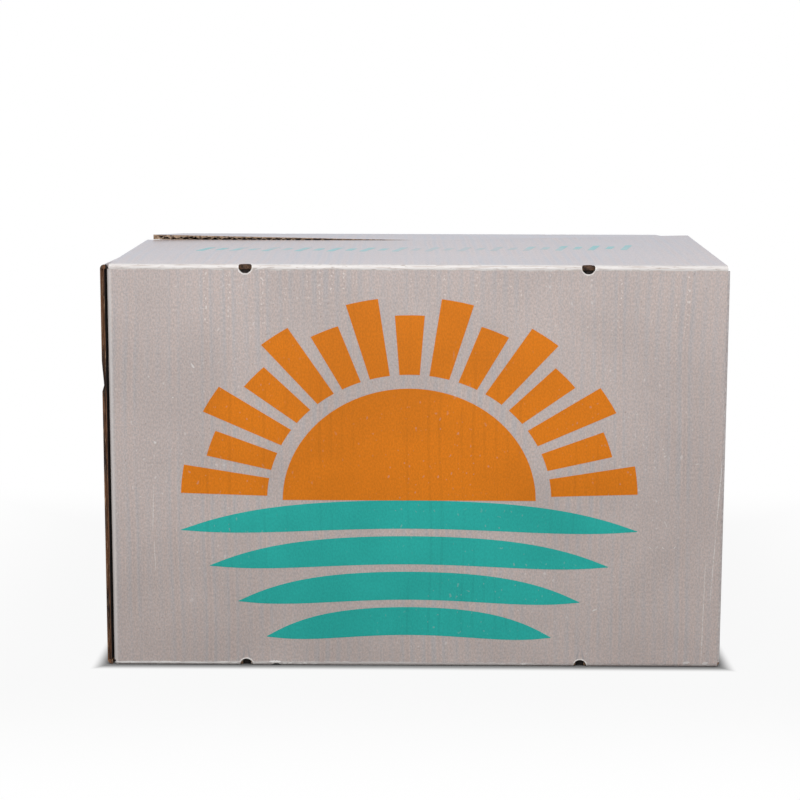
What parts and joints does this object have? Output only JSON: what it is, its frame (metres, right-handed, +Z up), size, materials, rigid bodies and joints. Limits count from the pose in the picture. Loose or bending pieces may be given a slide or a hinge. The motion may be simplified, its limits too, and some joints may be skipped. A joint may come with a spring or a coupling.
{
  "type": "produce box",
  "caption": "Waxed corrugated produce box with slotted flaps, closed and untaped, printed front wall, vent holes at the folds and two outer top flaps that swing open.",
  "frame": {"origin": "middle of the base, on the surface that the box stands on", "axes": "+X along the long printed wall from its left to its right, +Y from the printed front wall to the rear wall, +Z up"},
  "size_m": [0.45, 0.4, 0.3056],
  "materials": {
    "waxed_board": "waxed grey-beige liner with a soft sheen"
  },
  "bodies": {
    "box": {"carton": "waxed_board"},
    "front_flap": {"front_top_flap": "waxed_board"},
    "rear_flap": {"rear_top_flap": "waxed_board"}
  },
  "joints": [
    {"name": "front_flap_hinge", "type": "hinge", "parent": "box", "child": "front_flap", "pos_m": [0, -0.2, 0.295], "axis": [1, 0, 0], "range_deg": [0, 250]},
    {"name": "rear_flap_hinge", "type": "hinge", "parent": "box", "child": "rear_flap", "pos_m": [0, 0.2, 0.295], "axis": [-1, 0, 0], "range_deg": [0, 250]}
  ]
}
